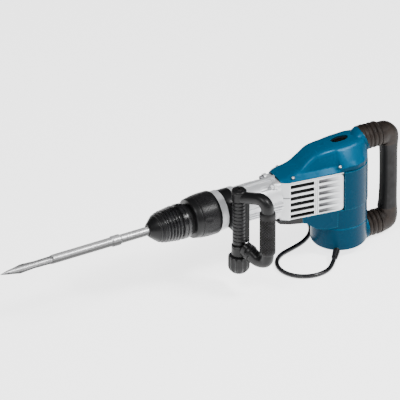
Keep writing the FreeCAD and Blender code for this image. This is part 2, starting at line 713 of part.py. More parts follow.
def make_crank():
    c = cell
    centre = -c.crank_offset
    wheel = gear_disc(c.gear_low.number, c.gear_high.number, 31.9, 36, 2.3, (centre.number, 0))
    pin_x = centre + c.crank_throw
    height = c.axis_height
    fuse([wheel, rod("z", 107.5, c.gear_low + 1, 8, (centre, 0)),
          rod("z", c.gear_high - 1, height - 6, 9, (pin_x, 0)),
          rod("z", height - 7, height + 9, 5, (pin_x, 0))], "crank_gear")
    end = pin_x - c.conrod_length
    arm = [rod("z", height - 5.5, height + 5.5, 11, (pin_x, 0)),
           rod("z", height - 5.5, height + 5.5, 7.5, (end, 0)),
           block((end, pin_x), (-5, 5), (height - 5.5, height + 5.5))]
    bores = [rod("z", height - 8, height + 8, 5.1, (pin_x, 0)),
             rod("z", height - 8, height + 8, 4, (end, 0))]
    cut(arm, bores, "conrod")
    named(rod("z", height - 6, height + 6, 4, (end, 0)), "wrist_pin")
    body = [rod("x", -176, end + 12, c.piston_radius, (0, height))]
    cut(body, [block((-147, end + 20), (-30, 30), (height - 7, height + 7))], "piston")


def make_impact():
    c = cell
    height = c.axis_height
    named(tube("x", c.tube_front, c.tube_rear, 24, c.piston_radius + 0.1, (0, height)), "hammer_tube")
    fuse([rod("x", -232, -196, c.piston_radius, (0, height)), rod("x", -248, -231, 10, (0, height))],
         "striker")
    anvil = [(-344, 0), (-344, 8), (-332, 8), (-330, 15), (-294, 15), (-290, 11), (-262, 11), (-260, 10),
             (-260, 0)]
    turned(anvil, (0, 0, height), "anvil")
    named(tube("x", -289.5, -287.7, 24, 16, (0, height)), "shaft_seal")


# ---------------------------------------------------------------- cord

CORD_LEVEL = SIZES["floor_level"] + SIZES["cord_diameter"] / 2
CORD_RUN = [(-45, -60, -5), (-58, -73.6, CORD_LEVEL), (-80, -87.4, CORD_LEVEL),
            (-110, -89.5, CORD_LEVEL), (-140.2, -74, CORD_LEVEL), (-155.6, -43.8, CORD_LEVEL),
            (-150.3, -10.2, CORD_LEVEL), (-126.3, 13.8, CORD_LEVEL), (-92.5, 23.1, CORD_LEVEL),
            (-59, 34, CORD_LEVEL), (-29, 58, CORD_LEVEL), (-13, 90, CORD_LEVEL),
            (-13, 120, CORD_LEVEL), (-19, 147, CORD_LEVEL)]
CORD_TAIL = [(30, 204.6, CORD_LEVEL), (50, 205.4, CORD_LEVEL), (69, 209, -8.5), (87, 215.5, -2.5),
             (104, 224, 2), (121, 233, 3)]
COIL_CENTRE = (30, 145)
COIL_TURNS = (50.2, 59.6)
COIL_LAYERS = 5


def cord_along(route, label):
    """A round cord on straight runs joined by tangent arcs, as large as the runs allow."""
    points = [Vector(*p) for p in route]
    edges, start, radii = [], points[0], []
    for before, corner, after in zip(points, points[1:], points[2:]):
        back, ahead = (before - corner), (after - corner)
        reach = 0.45 * min(back.Length, ahead.Length)
        back.normalize()
        ahead.normalize()
        half_turn = (math.pi - back.getAngle(ahead)) / 2
        radii.append(reach / math.tan(half_turn))
        enter, leave = corner + back * reach, corner + ahead * reach
        middle = (back + ahead).normalize() * (radii[-1] / math.cos(half_turn) - radii[-1])
        edges.append(Part.LineSegment(start, enter).toShape())
        edges.append(Part.Arc(enter, corner + middle, leave).toShape())
        start = leave
    edges.append(Part.LineSegment(start, points[-1]).toShape())
    path = Part.Wire(edges)
    section = float(cell.cord_diameter) / 2
    circle = Part.Wire(Part.makeCircle(section, points[0], points[1] - points[0]))
    thing = doc.addObject("Part::Feature", "Cord")
    thing.Shape = path.makePipeShell([circle], True, True)
    expected = math.pi * section ** 2 * path.Length
    if abs(thing.Shape.Volume / expected - 1) > 0.01:
        raise RuntimeError(f"{label} has {thing.Shape.Volume:.0f} mm3, not {expected:.0f}")
    print(label, "length", round(path.Length), "radii", [round(r) for r in radii])
    return named(thing, label)


def aimed(thing, tip, direction):
    """Puts a thing that was made along Z at a point, along a direction."""
    return place(thing, tip, Rotation(Vector(0, 0, 1), Vector(*direction)))


def relief_pieces(grow):
    """The strain relief's taper and ribs, made thicker by grow for the hole it sits in."""
    end, after = Vector(*CORD_RUN[0]), Vector(*CORD_RUN[1])
    direction = (after - end).normalize()
    length = 30
    pieces = []
    taper = doc.addObject("Part::Cone", "Relief")
    bind(taper, "Radius1", 7 + grow)
    bind(taper, "Radius2", cell.cord_diameter / 2 + 1 + grow)
    bind(taper, "Height", length)
    pieces.append(aimed(taper, tuple(end - direction * length), direction))
    for i in range(5):
        ring = doc.addObject("Part::Cylinder", "Rib")
        bind(ring, "Radius", 7.2 - 0.22 * i + grow)
        bind(ring, "Height", 2)
        pieces.append(aimed(ring, tuple(end - direction * (length - 11 - 3.8 * i)), direction))
    return pieces


def make_cord():
    c = cell
    flush = rod("z", -30, 0.4, c.motor_radius - 3)
    cut(relief_pieces(0), [flush], "cord_relief")
    cord_along(CORD_RUN, "cord_tube")
    half = c.cord_diameter / 2
    floor = c.floor_level
    inner, outer = COIL_TURNS
    named(tube("z", floor, floor + c.cord_diameter * COIL_LAYERS, outer + half, inner - half, COIL_CENTRE),
          "cord_coil")
    cord_along(CORD_TAIL, "cord_tail")
    end, before = CORD_TAIL[-1], CORD_TAIL[-2]
    turn = Rotation(Vector(0, 0, 1), math.degrees(math.atan2(end[1] - before[1], end[0] - before[0])))
    profile = [(0, 0), (0, 6.5), (10, 8), (14, 12), (20, 16), (24, 19), (42, 19), (42, 0)]
    named(shifted(turned(profile), end, turn), "plug_body")
    pins = [fuse([rod("x", 42, 59, 2.4, (side * 9.5, 0)), ball((59, side * 9.5, 0), 2.4)])
            for side in (1, -1)]
    group([shifted(pin, end, turn) for pin in pins], "plug_pins")


def write_parts():
    doc.recompute()
    os.makedirs("parts", exist_ok=True)
    failed = [thing.Label for thing in doc.Objects if {"Invalid", "Error"} & set(thing.State)]
    if failed:
        raise RuntimeError(f"these did not recompute: {failed}")
    for node in nodes:
        shape = node.Shape
        if shape.isNull() or not shape.isValid() or not shape.Solids:
            raise RuntimeError(f"{node.Label} has no valid shape")
        shape.exportStep(f"parts/{node.Label}.step")
        print(node.Label, len(shape.Solids), round(shape.Volume / 1000, 1))


fill_sheet()
make_chisel()
make_tool_holder()
make_locking_sleeve()
make_adjusting_ring()
make_clamp()
make_side_grip()
make_clamp_nut()
make_neck()
make_gear_housing()
group([make_grille(-1, "grille_left"), make_grille(1, "grille_right")], "grille_liners")
make_lower_guard()
make_motor_housing()
make_end_cap()
make_top_cover()
make_switch()
group(side_screws(3.4, 7.5), "cover_screws")
make_speed_wheel()
make_rear_handle()
make_bellows()
make_motor()
make_crank()
make_impact()
make_cord()
write_parts()
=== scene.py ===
"""Demolition hammer: materials, soft parts, cord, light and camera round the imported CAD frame."""
import bmesh
import bpy
import json
import math
from mathutils import Matrix, Vector


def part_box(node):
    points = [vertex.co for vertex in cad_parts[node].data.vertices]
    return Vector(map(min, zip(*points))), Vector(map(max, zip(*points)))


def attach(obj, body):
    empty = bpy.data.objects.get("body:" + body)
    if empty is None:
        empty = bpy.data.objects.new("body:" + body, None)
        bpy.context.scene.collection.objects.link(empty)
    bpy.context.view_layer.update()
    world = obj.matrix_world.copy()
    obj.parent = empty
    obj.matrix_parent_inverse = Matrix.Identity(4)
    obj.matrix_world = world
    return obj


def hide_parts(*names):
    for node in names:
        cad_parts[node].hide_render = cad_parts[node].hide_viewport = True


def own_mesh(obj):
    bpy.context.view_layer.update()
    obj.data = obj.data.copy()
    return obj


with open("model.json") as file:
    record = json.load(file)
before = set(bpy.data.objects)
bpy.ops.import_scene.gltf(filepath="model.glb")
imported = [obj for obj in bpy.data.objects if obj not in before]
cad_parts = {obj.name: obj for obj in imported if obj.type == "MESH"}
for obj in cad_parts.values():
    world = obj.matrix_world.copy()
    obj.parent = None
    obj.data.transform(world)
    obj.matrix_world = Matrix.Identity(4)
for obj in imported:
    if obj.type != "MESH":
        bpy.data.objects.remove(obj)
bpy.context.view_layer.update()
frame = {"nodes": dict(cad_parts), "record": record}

MM = 0.001
PANEL_FLARE, PANEL_FACE = 0.1531, 0.05356   # the side panels' plane, m: |y| = FACE + FLARE * x
AXIS = 144.0                     # height of the impact axis over the motor base, mm
CREASE_ANGLE = math.radians(38)  # edges sharper than this stay sharp


# ------------------------------------------------------------------ materials

def srgb(r, g, b):
    """Linear colour from 8-bit screen values."""
    def linear(v):
        v /= 255
        return v / 12.92 if v <= 0.04045 else ((v + 0.055) / 1.055) ** 2.4
    return (linear(r), linear(g), linear(b), 1)


class Nodes:
    """A short way to write a node tree."""

    def __init__(self, name):
        self.material = bpy.data.materials.new(name)
        self.material.use_nodes = True
        self.tree = self.material.node_tree
        self.shader = self.tree.nodes["Principled BSDF"]
        coords = self.tree.nodes.new("ShaderNodeTexCoord")
        self.place = coords.outputs["Object"]

    def add(self, kind, **values):
        node = self.tree.nodes.new("ShaderNode" + kind)
        for key, value in values.items():
            if key in node.inputs:
                self.feed(node.inputs[key], value)
            else:
                setattr(node, key, value)
        return node

    def feed(self, socket, value):
        if isinstance(value, bpy.types.NodeSocket):
            self.tree.links.new(value, socket)
        else:
            socket.default_value = value

    def noise(self, scale, detail=3, stretch=(1, 1, 1)):
        mapping = self.add("Mapping", Vector=self.place, Scale=stretch)
        return self.add("TexNoise", Vector=mapping.outputs[0], Scale=scale, Detail=detail).outputs[0]

    def ramp(self, value, stops):
        node = self.add("ValToRGB", Fac=value)
        while len(node.color_ramp.elements) < len(stops):
            node.color_ramp.elements.new(0.5)
        for element, (position, colour) in zip(node.color_ramp.elements, stops):
            element.position = position
            element.color = colour if isinstance(colour, tuple) else (colour, colour, colour, 1)
        return node.outputs[0]

    def span(self, value, first, last, low=0.0, high=1.0):
        """Maps first..last to low..high, and holds the ends outside that."""
        return self.add("MapRange", Value=value, **{"From Min": first, "From Max": last,
                                                    "To Min": low, "To Max": high}).outputs[0]

    def remap(self, value, low, high):
        return self.span(value, 0.0, 1.0, low, high)

    def calculate(self, operation, *values):
        node = self.add("Math", operation=operation)
        for socket, value in zip(node.inputs, values):
            self.feed(socket, value)
        return node.outputs[0]

    def rise(self):
        """How far a face looks up: 1 on top, 0 on a wall, -1 underneath."""
        return self.add("SeparateXYZ", Vector=self.add("NewGeometry").outputs["Normal"]).outputs[2]

    def bump(self, height, strength, distance, normal=None):
        node = self.add("Bump", Height=height, Strength=strength, Distance=distance)
        if normal:
            self.feed(node.inputs["Normal"], normal)
        return node.outputs[0]

    def set(self, **values):
        for key, value in values.items():
            self.feed(self.shader.inputs[key.replace("_", " ")], value)


def edge_wear(n, radius):
    """0 on flat stretches, towards 1 on worn edges."""
    match = n.add("VectorMath", operation="DOT_PRODUCT")
    n.feed(match.inputs[0], n.add("Bevel", Radius=radius, samples=6).outputs[0])
    n.feed(match.inputs[1], n.add("NewGeometry").outputs["Normal"])
    edges = n.span(match.outputs["Value"], 1.0, 0.82)
    return n.calculate("MULTIPLY", edges, n.remap(n.noise(160, 4), 0.2, 1.3))


def mix(n, factor, first, second):
    node = n.add("Mix", data_type="RGBA")
    n.feed(node.inputs[0], factor)
    n.feed(node.inputs[6], first)
    n.feed(node.inputs[7], second)
    return node.outputs[2]


def toned(colour, share):
    """A colour darkened to a share of itself."""
    return tuple(c * share for c in colour[:3]) + (1,)


def moulded(name, colour, dark, rough, depth=0.05, wear=0.25, worn=None, shine=0.5, index=1.45, metal=0.0,
            wall_shade=1.0):
    """Injection-moulded plastic: fine spark-eroded grain, slight tone drift, rubbed edges, and painted shade
    that darkens upright faces and undersides.

    The last argument is the share of the dark colour that upright faces and undersides keep; this darkening
    is painted shade.
    """
    n = Nodes(name)
    base = mix(n, n.noise(18, 4), dark, colour)
    # painted shade: upright faces and undersides turn towards the darkened dark colour
    base = mix(n, n.span(n.rise(), 0.62, 0.08), base, toned(dark, wall_shade))
    base = mix(n, n.calculate("MULTIPLY", edge_wear(n, 0.0014), wear), base, worn or colour)
    n.set(Base_Color=base, Roughness=n.remap(n.noise(35, 5), rough - 0.06, rough + 0.08),
          Normal=n.bump(n.noise(1400, 2), depth, 0.0004), Specular_IOR_Level=shine, IOR=index,
          Metallic=metal)
    return n.material


def louvre_panel(name, colour, dark, recess_shade):
    """Silver side panel whose recessed faces fall off to grey as painted shade."""
    n = Nodes(name)
    x, y, _ = n.add("SeparateXYZ", Vector=n.place).outputs
    face = n.calculate("MULTIPLY_ADD", x, PANEL_FLARE, PANEL_FACE)
    depth = n.calculate("SUBTRACT", face, n.calculate("ABSOLUTE", y))
    base = mix(n, n.noise(20, 4), dark, colour)
    # painted shade: faces set back behind the panel's plane fall off to dark grey
    base = mix(n, n.span(depth, 0.0003, 0.003), base, recess_shade)
    n.set(Base_Color=base, Metallic=0.2, Roughness=n.remap(n.noise(60, 4), 0.32, 0.46),
          Normal=n.bump(n.noise(1100, 3), 0.12, 0.0004))
    return n.material


def rubber(name, colour, dark, rough=0.5, dots=900, depth=0.25, index=1.22):
    """Soft-touch rubber: pebbled skin with dusty high spots."""
    n = Nodes(name)
    cells = n.add("TexVoronoi", Vector=n.place, Scale=dots).outputs["Distance"]
    dust = n.noise(60, 5)
    base = mix(n, n.ramp(dust, [(0.35, 0.0), (0.75, 1.0)]), dark, colour)
    n.set(Base_Color=base, Roughness=n.remap(dust, rough - 0.08, rough + 0.1),
          Normal=n.bump(cells, depth, 0.0003), IOR=index)
    return n.material


def cast_metal(name, colour, dark):
    """Powder-coated aluminium casting: sandy skin with a few pits, brighter along its edges."""
    n = Nodes(name)
    tone = n.noise(25, 5)
    base = mix(n, tone, dark, colour)
    base = mix(n, edge_wear(n, 0.0016), base, srgb(245, 246, 248))
    skin = n.bump(n.noise(1100, 3), 0.18, 0.0005)
    n.set(Base_Color=base, Metallic=0.35, Roughness=n.remap(tone, 0.33, 0.48),
          Normal=n.bump(n.noise(240, 2), 0.08, 0.001, skin))
    return n.material


def steel(name, colour, rough, stretch=(1, 1, 1), metallic=1.0, belly_shade=1.0):
    """Machined metal with grinding lines, stretched along the axis whose stretch is small, and painted shade
    on faces that don't look up.

    The last argument is the share of its colour that a face keeps when it doesn't look up; this darkening is
    painted shade.
    """
    n = Nodes(name)
    lines = n.noise(700, 4, stretch)
    base = mix(n, n.ramp(n.noise(40, 5), [(0.3, 0.0), (0.8, 1.0)]), colour, toned(colour, 0.72))
    # painted shade: faces that don't look up are darkened
    base = mix(n, n.span(n.rise(), 0.7, 0.15), base, toned(colour, belly_shade))
    n.set(Base_Color=base, Metallic=metallic, Roughness=n.remap(lines, rough - 0.06, rough + 0.14),
          Normal=n.bump(lines, 0.12, 0.0003))
    return n.material


# Moulded materials darken upright faces and undersides as painted shade; the blue keeps 0.36 of its dark
# colour there.
BLUE = moulded("housing_blue", srgb(0, 84, 118), srgb(0, 76, 108), 0.26, wear=0.4,
               worn=srgb(60, 160, 185), shine=0.25, index=1.22, metal=0.08, wall_shade=0.36)
SILVER = cast_metal("cast_silver", srgb(218, 219, 221), srgb(198, 200, 203))
# the last colour is the painted shade in the panel's recesses
PANEL = louvre_panel("panel_silver", srgb(222, 224, 226), srgb(196, 198, 201), srgb(84, 84, 86))
BLACK = moulded("moulded_black", srgb(28, 28, 29), srgb(17, 17, 18), 0.34, depth=0.1, wear=0.5,
                worn=srgb(80, 80, 82), index=1.3)
# near-black for dark inner parts, and as painted shade on the grille liners
DARK_AND_SHADE = moulded("inner_black_and_shade", srgb(14, 14, 15), srgb(8, 8, 9), 0.6, wear=0.0, shine=0.2)
RUBBER = rubber("chuck_rubber", srgb(36, 36, 38), srgb(20, 20, 21), 0.26, 1200, 0.1, 1.42)
GRIP = rubber("grip_rubber", srgb(42, 42, 43), srgb(27, 26, 26), 0.52, 700, 0.3)
HANDLE = rubber("handle_rubber", srgb(50, 43, 39), srgb(32, 28, 26), 0.5, 900, 0.2)
# painted shade leaves the bright steel's underside at 0.05 of its colour
BRIGHT = steel("bright_steel", (0.74, 0.74, 0.75, 1), 0.3, (0.15, 1, 1), 0.5, belly_shade=0.05)
DARK_STEEL = steel("dark_steel", (0.16, 0.16, 0.17, 1), 0.38)
COPPER = steel("copper", (0.78, 0.42, 0.25, 1), 0.3)
BRASS = steel("brass", (0.78, 0.58, 0.28, 1), 0.3)
CARBON = moulded("carbon", srgb(40, 40, 42), srgb(24, 24, 26), 0.6, wear=0)

BY_SLOT = {"blue_shell": BLUE, "cast_aluminium": SILVER, "light_panel": PANEL,
           "black_plastic": BLACK, "black_rubber": RUBBER, "handle_rubber": HANDLE,
           "bright_steel": BRIGHT, "dark_steel": DARK_STEEL, "copper": COPPER, "brass": BRASS,
           "carbon": CARBON}


def paint(thing, material):
    thing.data.materials.clear()
    thing.data.materials.append(material)


def paint_nodes():
    """Every CAD node in its slot's material, with a few darker ones, the grille liners dark as painted shade,
    and silver near-side flange screws.
    """
    for part in frame["record"]["subparts"]:
        paint(frame["nodes"][part["node"]], BY_SLOT[part["material_slot"]])
    # the grille liners are dark sheets standing in for the shade behind the grille's slots
    for node in ("grille_liners", "power_switch", "tool_holder"):
        paint(frame["nodes"][node], DARK_AND_SHADE)
    paint(frame["nodes"]["clamp_band"], BLACK)
    bolts = frame["nodes"]["flange_screws"].data
    bolts.materials.append(SILVER)
    for face in bolts.polygons:
        face.material_index = 1 if face.center.y < 0 else 0


# ------------------------------------------------------------------ mesh helpers

def piece(name, verts, faces, material, body, replaced=()):
    """A new mesh piece from millimetre points, riding on a body."""
    mesh = bpy.data.meshes.new(name)
    mesh.from_pydata([Vector(v) * MM for v in verts], [], faces)
    work = bmesh.new()
    work.from_mesh(mesh)
    bmesh.ops.recalc_face_normals(work, faces=work.faces)
    work.to_mesh(mesh)
    work.free()
    thing = bpy.data.objects.new(name, mesh)
    bpy.context.scene.collection.objects.link(thing)
    paint(thing, material)
    for face in mesh.polygons:
        face.use_smooth = True
    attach(thing, body)
    if replaced:
        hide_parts(*replaced)
    return thing


def catmull(values, t):
    """A smooth tuple through a list of tuples at a running index t."""
    last = len(values) - 1
    i = min(int(t), last - 1)
    f = t - i
    p0, p1 = values[max(i - 1, 0)], values[i]
    p2, p3 = values[i + 1], values[min(i + 2, last)]
    return tuple(0.5 * (2 * b + (c - a) * f + (2 * a - 5 * b + 4 * c - d) * f * f
                        + (3 * b - a - 3 * c + d) * f ** 3)
                 for a, b, c, d in zip(p0, p1, p2, p3))


def rings_to_mesh(rings, closed_ends=True):
    """Quads between equal rings of points, with the ends filled."""
    count = len(rings[0])
    verts = [p for ring in rings for p in ring]
    faces = []
    for i in range(len(rings) - 1):
        for j in range(count):
            k = (j + 1) % count
            faces.append((i * count + j, i * count + k, (i + 1) * count + k, (i + 1) * count + j))
    if closed_ends:
        faces.append(tuple(range(count)))
        faces.append(tuple((len(rings) - 1) * count + j for j in reversed(range(count))))
    return verts, faces


def lathe(name, profile, centre, direction, material, body, replaced=(), steps=144, shape=None):
    """Turns (station, radius) points about a line. shape(station, angle) scales the radius."""
    along = Vector(direction).normalized()
    side = along.orthogonal().normalized()
    other = along.cross(side)
    rings = []
    for station, radius in profile:
        ring = []
        for j in range(steps):
            angle = 2 * math.pi * j / steps
            reach = radius * (shape(station, angle) if shape else 1)
            ring.append(Vector(centre) + along * station + side * reach * math.cos(angle)
                        + other * reach * math.sin(angle))
        rings.append(ring)
    rings.append(rings[0])
    verts, faces = rings_to_mesh(rings, False)
    return clean(piece(name, verts, faces, material, body, replaced))


def clean(thing):
    """Merges doubled points, turns the faces outward and creases the sharp edges."""
    work = bmesh.new()
    work.from_mesh(thing.data)
    bmesh.ops.remove_doubles(work, verts=work.verts, dist=1e-6)
    bmesh.ops.recalc_face_normals(work, faces=work.faces)
    for edge in work.edges:
        if len(edge.link_faces) == 2 and edge.calc_face_angle(0) > CREASE_ANGLE:
            edge.smooth = False
    work.to_mesh(thing.data)
    work.free()
    return thing


def superellipse(count, a, b, power):
    """Points of a rounded box section: (across a, across b)."""
    points = []
    for j in range(count):
        angle = 2 * math.pi * j / count
        c, s = math.cos(angle), math.sin(angle)
        points.append((a * math.copysign(abs(c) ** (2 / power), c),
                       b * math.copysign(abs(s) ** (2 / power), s)))
    return points


def swept(stations, rings, count):
    """Rings of a bar whose stations are (x, z, heading in degrees, half depth, half width, power)."""
    result = []
    for i in range(rings + 1):
        x, z, heading, a, b, power = catmull(stations, i / rings * (len(stations) - 1))
        heading = math.radians(heading)
        out = Vector((math.sin(-heading), 0, math.cos(heading)))
        result.append([Vector((x, 0, z)) + (out * p + Vector((0, q, 0)))
                       for p, q in superellipse(count, a, b, max(power, 2))])
    return result


# ------------------------------------------------------------------ rear handle

def node_span(node):
    """A node's corners in millimetres."""
    low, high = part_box(node)
    return low / MM, high / MM


def turned_span(node):
    """Front, rear and radius of a round node that lies along X, in millimetres."""
    low, high = node_span(node)
    return low.x, high.x, (high.z - low.z) / 2


def make_rear_handle():
    """The D-handle as one bar between the bellows, with a soft grip and a dark inner face."""
    low, high = node_span("rear_handle")
    top_low, top_high = node_span("bellows_upper")
    low_low, low_high = node_span("bellows_lower")
    front, rear = low.x, high.x
    radius = (top_high.z - top_low.z) / 2 - 0.4
    top, bottom = (top_high.z + top_low.z) / 2, (low_low.z + low_high.z) / 2
    middle = rear - 17
    stations = [(front, top - 1, 0, radius - 2, radius, 2.0),
                (front + 7, top - 1.6, -2, radius - 3, radius - 1.4, 2.1),
                (middle - 8, top - 3.6, -18, 22.6, 20.6, 2.4), (middle - 1, top - 13, -56, 21.6, 19.4, 2.6),
                (middle - 0.2, top - 34, -84, 17.6, 17.4, 2.7), (middle, top - 52, -90, 16.6, 16.8, 2.7),
                (middle + 0.2, top - 85, -90, 16.5, 16.6, 2.7), (middle, top - 120, -90, 16.5, 16.6, 2.7),
                (middle - 0.6, bottom + 58, -91, 16.8, 16.8, 2.7),
                (middle - 1.4, bottom + 34, -95, 18.2, 17.4, 2.6),
                (middle - 3.6, bottom + 7.6, -138, 23.4, 20, 2.4),
                (front + 7, bottom + 0.8, -177, radius - 1, radius - 1.4, 2.1),
                (front, bottom, -180, radius, radius, 2.0)]
    verts, faces = rings_to_mesh(swept(stations, 110, 56))
    handle = clean(piece("rear_grip_body", verts, faces, HANDLE, "rear_handle",
                         ("rear_handle", "grip_insert")))
    handle.data.materials.append(GRIP)
    handle.data.materials.append(DARK_AND_SHADE)
    soft_low, soft_high = bottom + 31, top - 25
    for face in handle.data.polygons:
        if soft_low < face.center.z / MM < soft_high:
            face.material_index = 2 if face.normal.x < -0.5 else 1


def follow_float(thing):
    """Gives a piece between the housing and the sprung handle its own copy of its mesh."""
    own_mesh(thing)


def make_bellows():
    """Folded rubber skins between the housing and the sprung handle."""
    folds, fold_depth, thickness = 3, 3.6, 8
    steps = 12 * folds
    for node in ("bellows_upper", "bellows_lower"):
        start, end, radius = turned_span(node)
        low, high = node_span(node)
        height = (high.z + low.z) / 2
        profile = []
        for i in range(steps + 1):
            part = i / steps
            wave = abs(math.sin(math.pi * part * folds)) ** 0.55
            profile.append((start + (end - start) * part, radius - fold_depth * (1 - wave)))
        profile += [(end, radius - thickness), (start, radius - thickness)]
        skin = lathe(node + "_skin", profile, (0, 0, height), (1, 0, 0), HANDLE, "rear_handle",
                     (node,), 96)
        follow_float(skin)


def make_float_springs():
    """Helical springs round the handle's guide rods, inside the bellows."""
    low, high = node_span("handle_springs")
    coils, steps, sides = 5, 20, 8
    reach, wire = 9, 1.5
    start, end = low.x + 1.6, high.x - 1.6
    for node in ("bellows_upper", "bellows_lower"):
        box_low, box_high = node_span(node)
        height = (box_low.z + box_high.z) / 2
        rings = []
        for i in range(coils * steps + 1):
            turn = 2 * math.pi * i / steps
            out = Vector((0, math.sin(turn), math.cos(turn)))
            middle = Vector((start + (end - start) * i / (coils * steps), 0, height)) + out * reach
            rings.append([middle + out * wire * math.cos(2 * math.pi * j / sides)
                          + Vector((wire * math.sin(2 * math.pi * j / sides), 0, 0)) for j in range(sides)])
        verts, faces = rings_to_mesh(rings)
        spring = clean(piece("float_spring", verts, faces, DARK_STEEL, "rear_handle",
                             ("handle_springs",) if node == "bellows_upper" else ()))
        follow_float(spring)


# ------------------------------------------------------------------ chuck

def ridged(start, pitch, count, low, high, drop):
    """Sawtooth rings: each rises steeply at its front and falls away towards the rear."""
    points = []
    for i in range(count):
        base = start + pitch * i
        crest = low + (high - low) * (i + 0.5) / count
        points += [(base, crest - drop), (base + pitch * 0.14, crest - drop),
                   (base + pitch * 0.3, crest - 0.3), (base + pitch * 0.4, crest),
                   (base + pitch * 0.62, crest - 0.15), (base + pitch * 0.86, crest - drop * 0.55)]
    return points


def turned_part(name, profile, material, body, node, steps=144, shape=None):
    """A chuck part turned about the impact axis in place of a CAD node."""
    lathe(name, profile, (0, 0, AXIS), (1, 0, 0), material, body, (node,), steps, shape)


def make_nose_cap():
    """The tapered nose with two ridges at its rear."""
    front, rear, _ = turned_span("dust_cap")
    cap = [(front + 2.5, 10.4), (front + 2.5, 12), (front + 3.4, 13.2), (front + 6, 15.8), (front + 10, 19),
           (front + 14, 22.6), (front + 17.6, 25.2), (front + 18.2, 25.6)]
    cap += ridged(front + 18.6, 6.7, 2, 26.8, 32, 2.6)
    cap += [(rear - 0.2, 29.8), (rear - 0.2, 18), (rear - 4, 16.4), (front + 6, 10.4)]
    turned_part("chuck_cap", cap, BLACK, "locking_sleeve", "dust_cap")


def make_locking_sleeve():
    """The sleeve that is pulled back: five ridges, a gap and a grooved band."""
    front, rear, r = turned_span("locking_sleeve")
    sleeve = [(front, 18), (front, r - 7.4)] + ridged(front, 6.5, 5, r - 4.6, r - 0.6, 2.8)
    sleeve += [(front + 33, r - 4.8), (front + 36, r - 5.4), (front + 36.6, r - 2.2), (front + 38, r - 0.9),
               (front + 42.5, r - 0.6), (front + 43.5, r - 2.4), (front + 44.3, r - 2.4),
               (front + 45.2, r - 0.9), (rear - 3, r - 1), (rear - 0.8, r - 1.9), (rear, r - 3.4), (rear, 18)]
    turned_part("chuck_sleeve", sleeve, RUBBER, "locking_sleeve", "locking_sleeve")


def make_adjusting_ring():
    """The large ring behind the sleeve, finely grooved behind a plain front band."""
    front, rear, r = turned_span("adjusting_ring")
    ring = [(front, 25), (front, r - 6.4), (front + 0.5, r - 5), (front + 2, r - 4), (front + 8, r - 2.9),
            (front + 12.6, r - 2.3), (front + 13.2, r - 3.1), (front + 14.4, r - 3.1), (front + 15, r - 1.7)]
    groove_pitch, groove_depth = 3, 0.42
    at = front + 16.2
    while at < rear - 9:
        reach = r - 1.5 * max(0, 1 - (at - front - 15) / 18) ** 1.4
        ring += [(at, reach), (at + 1.9, reach), (at + 2.2, reach - groove_depth),
                 (at + 2.7, reach - groove_depth)]
        at += groove_pitch
    ring += [(rear - 7, r), (rear - 3, r - 0.4), (rear - 1, r - 1.4), (rear, r - 3), (rear, 25)]

    def pads(station, angle):
        """Six shallow finger hollows round the ring."""
        wide = max(0.0, math.cos(angle * 6)) ** 6
        near = max(0.0, 1 - abs(station - front - 26) / 8)
        return 1 - 0.022 * wide * min(1, near * 2.5)

    turned_part("depth_ring", ring, BLACK, "adjusting_ring", "adjusting_ring", 192, pads)


# ------------------------------------------------------------------ side handle

COLUMN = Vector((-259, -54, 0))  # foot of the clamp column's axis, mm
SIDE_TURN = Matrix.Rotation(math.radians(-65.8), 4, "Z")
REACH = 69                       # from the column's axis to the grip's, mm


def swing_out(points):
    """Points of the side grip's own XZ plane, moved to its place on the column."""
    return [COLUMN + SIDE_TURN @ Vector(p) for p in points]


def make_side_bow():
    """The bow from the column's top out and down to the grip and back to the column's foot, with a collar."""
    stations = [(-1, 196.5, 14, 11, 11.6, 2.2), (14, 200.5, 14, 11, 11.6, 2.3),
                (36, 206, 13, 11.4, 11.8, 2.4), (REACH - 17, 209.2, 2, 12, 12, 2.4),
                (REACH - 5, 203.4, -45, 12.8, 12.6, 2.3), (REACH, 190, -88, 12.8, 12.8, 2.1),
                (REACH, 150, -90, 12.3, 12.3, 2), (REACH, 100, -90, 12.3, 12.3, 2),
                (REACH - 0.4, 83, -96, 12.6, 12.6, 2.1), (REACH - 5.4, 73, -140, 13, 12.6, 2.3),
                (REACH - 20, 69.6, -178, 13, 12.6, 2.6), (34, 74.6, -198, 14.4, 12.6, 2.8),
                (22, 80.4, -204, 15.6, 12.6, 2.8), (13, 84.6, -204, 15.6, 12.6, 2.8)]
    rings = [swing_out(ring) for ring in swept(stations, 130, 40)]
    verts, faces = rings_to_mesh(rings)
    clean(piece("side_bow", verts, faces, BLACK, "side_grip", ("side_grip",)))
    at = COLUMN + SIDE_TURN @ Vector((25, 0, 79.4))
    across = SIDE_TURN.to_3x3() @ Vector((1, 0, -0.45))
    collar = [(-5.4, 12), (-5.4, 15.4), (-4.4, 16.2), (-1, 16.3), (-0.6, 15.4), (0.6, 15.4), (1, 16.3),
              (4.4, 16.2), (5.4, 15.4), (5.4, 12)]
    lathe("side_collar", collar, at, across, BLACK, "side_grip", (), 64)


def make_side_hubs():
    """The bow's two eyes round the column."""
    for name, low, high in (("hub_upper", 190.6, 205.7), ("hub_lower", 66.6, 89)):
        hub = [(low, 4.4), (low, 13.8), (low + 1, 14.9), (high - 4.5, 14.9), (high - 4, 14.2),
               (high - 3.2, 14.2), (high - 2.7, 14.9), (high - 1, 14.9), (high, 13.8), (high, 4.4)]
        lathe("side_" + name, hub, COLUMN, (0, 0, 1), BLACK, "side_grip", (), 72)


